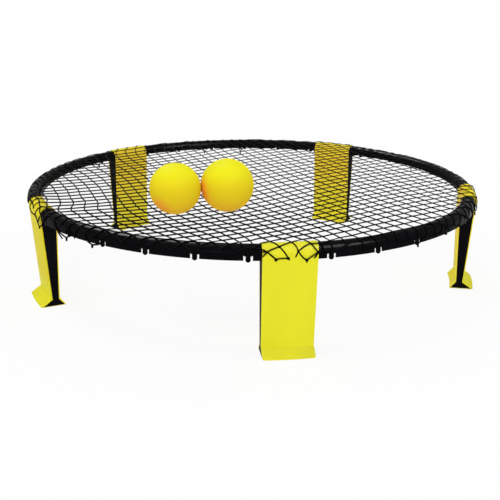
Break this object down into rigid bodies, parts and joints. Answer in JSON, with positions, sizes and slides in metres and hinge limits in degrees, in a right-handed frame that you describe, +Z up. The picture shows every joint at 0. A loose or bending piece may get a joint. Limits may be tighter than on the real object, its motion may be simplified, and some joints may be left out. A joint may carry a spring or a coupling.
{
  "type": "roundnet set",
  "caption": "Low round lawn game net: a black plugged ring on fold-in yellow and black legs, a stretched diamond mesh hooked over its rim, and inflated yellow balls resting on the mesh.",
  "frame": {"origin": "on the floor under the middle of the ring", "axes": "+Z up, the first leg towards -Y, +X to the right of that leg seen from in front"},
  "size_m": [0.919, 0.9247, 0.2946],
  "materials": {
    "rim_plastic": "glossy moulded black, with fine rub marks from the net",
    "leg_black": "satin moulded black",
    "leg_yellow": "semi-gloss moulded lemon yellow",
    "clip_steel": "plain spring steel",
    "net_cord": "matte twisted black cord",
    "ball_rubber": "smooth satin yellow rubber",
    "valve_rubber": "matte black rubber"
  },
  "bodies": {
    "rim": {"rim_section_1": "rim_plastic", "hinge_clip_1": "clip_steel", "rim_section_2": "rim_plastic", "hinge_clip_2": "clip_steel", "rim_section_3": "rim_plastic", "hinge_clip_3": "clip_steel", "rim_section_4": "rim_plastic", "hinge_clip_4": "clip_steel", "rim_section_5": "rim_plastic", "hinge_clip_5": "clip_steel", "net": "net_cord", "net_hook_loops": "net_cord"},
    "leg_1": {"leg_core_1": "leg_black", "leg_cover_1": "leg_yellow"},
    "leg_2": {"leg_core_2": "leg_black", "leg_cover_2": "leg_yellow"},
    "leg_3": {"leg_core_3": "leg_black", "leg_cover_3": "leg_yellow"},
    "leg_4": {"leg_core_4": "leg_black", "leg_cover_4": "leg_yellow"},
    "leg_5": {"leg_core_5": "leg_black", "leg_cover_5": "leg_yellow"},
    "ball_1": {"ball_1": "ball_rubber", "valve_1": "valve_rubber"},
    "ball_2": {"ball_2": "ball_rubber", "valve_2": "valve_rubber"}
  },
  "joints": [
    {"name": "leg_1_fold", "type": "hinge", "parent": "rim", "child": "leg_1", "pos_m": [0, -0.44198, 0.182], "axis": [1, 0, 0], "range_deg": [0, 75]},
    {"name": "leg_2_fold", "type": "hinge", "parent": "rim", "child": "leg_2", "pos_m": [0.42035, -0.13658, 0.182], "axis": [0.309, 0.9511, 0], "range_deg": [0, 75]},
    {"name": "leg_3_fold", "type": "hinge", "parent": "rim", "child": "leg_3", "pos_m": [0.25979, 0.35757, 0.182], "axis": [-0.809, 0.5878, 0], "range_deg": [0, 75]},
    {"name": "leg_4_fold", "type": "hinge", "parent": "rim", "child": "leg_4", "pos_m": [-0.25979, 0.35757, 0.182], "axis": [-0.809, -0.5878, 0], "range_deg": [0, 75]},
    {"name": "leg_5_fold", "type": "hinge", "parent": "rim", "child": "leg_5", "pos_m": [-0.42035, -0.13658, 0.182], "axis": [0.309, -0.9511, 0], "range_deg": [0, 75]},
    {"name": "ball_1_lift", "type": "slide", "parent": "rim", "child": "ball_1", "axis": [0, 0, 1], "range_m": [0, 0.3]},
    {"name": "ball_2_lift", "type": "slide", "parent": "rim", "child": "ball_2", "axis": [0, 0, 1], "range_m": [0, 0.3]}
  ]
}
